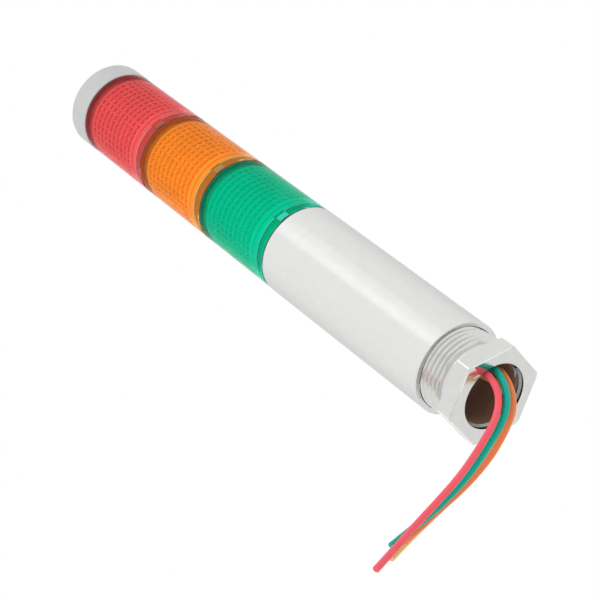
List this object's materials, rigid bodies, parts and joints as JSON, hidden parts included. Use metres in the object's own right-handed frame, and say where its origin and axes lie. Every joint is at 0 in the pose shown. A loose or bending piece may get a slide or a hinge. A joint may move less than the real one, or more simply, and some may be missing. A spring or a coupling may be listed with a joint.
{
  "type": "stack light",
  "caption": "Slim signal tower with red, amber and green light tiers on a silver tube, a threaded hexagon hub and loose wire leads.",
  "frame": {"origin": "centre of the hub bushing's mouth, in its end face", "axes": "+Z along the light towards its cap; +X across two of the hub's flats"},
  "size_m": [0.0734, 0.046, 0.2467],
  "materials": {
    "zinc_plate": "bright zinc plate",
    "satin_silver": "satin silver",
    "cap_plastic": "satin silver-grey",
    "green_lens": "clear coloured, prismatic inside",
    "amber_lens": "clear coloured, prismatic inside",
    "red_lens": "clear coloured, prismatic inside",
    "collar_plastic": "moulded light grey",
    "green_collar": "moulded in the lens's green",
    "amber_collar": "moulded in the lens's amber",
    "red_collar": "moulded in the lens's red",
    "seal_rubber": "moulded",
    "plug_rubber": "dark brown, moulded",
    "circuit_board": "white solder resist",
    "led_white": "moulded",
    "contact_metal": "plated",
    "component_plastic": "moulded",
    "carrier_plastic": "moulded black",
    "inner_wire_jacket": "PVC",
    "lead_red_jacket": "soft PVC",
    "lead_green_jacket": "soft PVC",
    "lead_orange_jacket": "soft PVC",
    "lead_yellow_jacket": "soft PVC"
  },
  "bodies": {
    "base": {"hub_bushing": "zinc_plate", "body_tube": "satin_silver", "lead_plug": "plug_rubber", "inner_wires": "inner_wire_jacket", "board_carrier": "carrier_plastic", "driver_board": "circuit_board", "driver_components": "component_plastic", "tube_collar": "collar_plastic", "tube_ring_board": "circuit_board", "tube_seal": "seal_rubber", "lead_red": "lead_red_jacket", "lead_green": "lead_green_jacket", "lead_orange": "lead_orange_jacket", "lead_yellow": "lead_yellow_jacket"},
    "green_tier": {"green_lens": "green_lens", "green_contact_disc": "circuit_board", "green_contact_pins": "contact_metal", "green_led_board": "circuit_board", "green_leds": "led_white", "green_collar": "green_collar", "green_ring_board": "circuit_board", "green_seal": "seal_rubber"},
    "amber_tier": {"amber_lens": "amber_lens", "amber_contact_disc": "circuit_board", "amber_contact_pins": "contact_metal", "amber_led_board": "circuit_board", "amber_leds": "led_white", "amber_collar": "amber_collar", "amber_ring_board": "circuit_board", "amber_seal": "seal_rubber"},
    "red_tier": {"red_lens": "red_lens", "red_contact_disc": "circuit_board", "red_contact_pins": "contact_metal", "red_led_board": "circuit_board", "red_leds": "led_white", "red_collar": "red_collar", "red_ring_board": "circuit_board", "red_seal": "seal_rubber"},
    "cap": {"top_cap": "cap_plastic"}
  },
  "joints": [
    {"name": "green_twist", "type": "hinge", "parent": "base", "child": "green_tier", "pos_m": [0, 0, 0.095], "axis": [0, 0, 1], "range_deg": [0, 20]},
    {"name": "amber_twist", "type": "hinge", "parent": "green_tier", "child": "amber_tier", "pos_m": [0, 0, 0.1313], "axis": [0, 0, 1], "range_deg": [0, 20]},
    {"name": "red_twist", "type": "hinge", "parent": "amber_tier", "child": "red_tier", "pos_m": [0, 0, 0.1676], "axis": [0, 0, 1], "range_deg": [0, 20]},
    {"name": "cap_twist", "type": "hinge", "parent": "red_tier", "child": "cap", "pos_m": [0, 0, 0.2039], "axis": [0, 0, 1], "range_deg": [0, 20]}
  ]
}
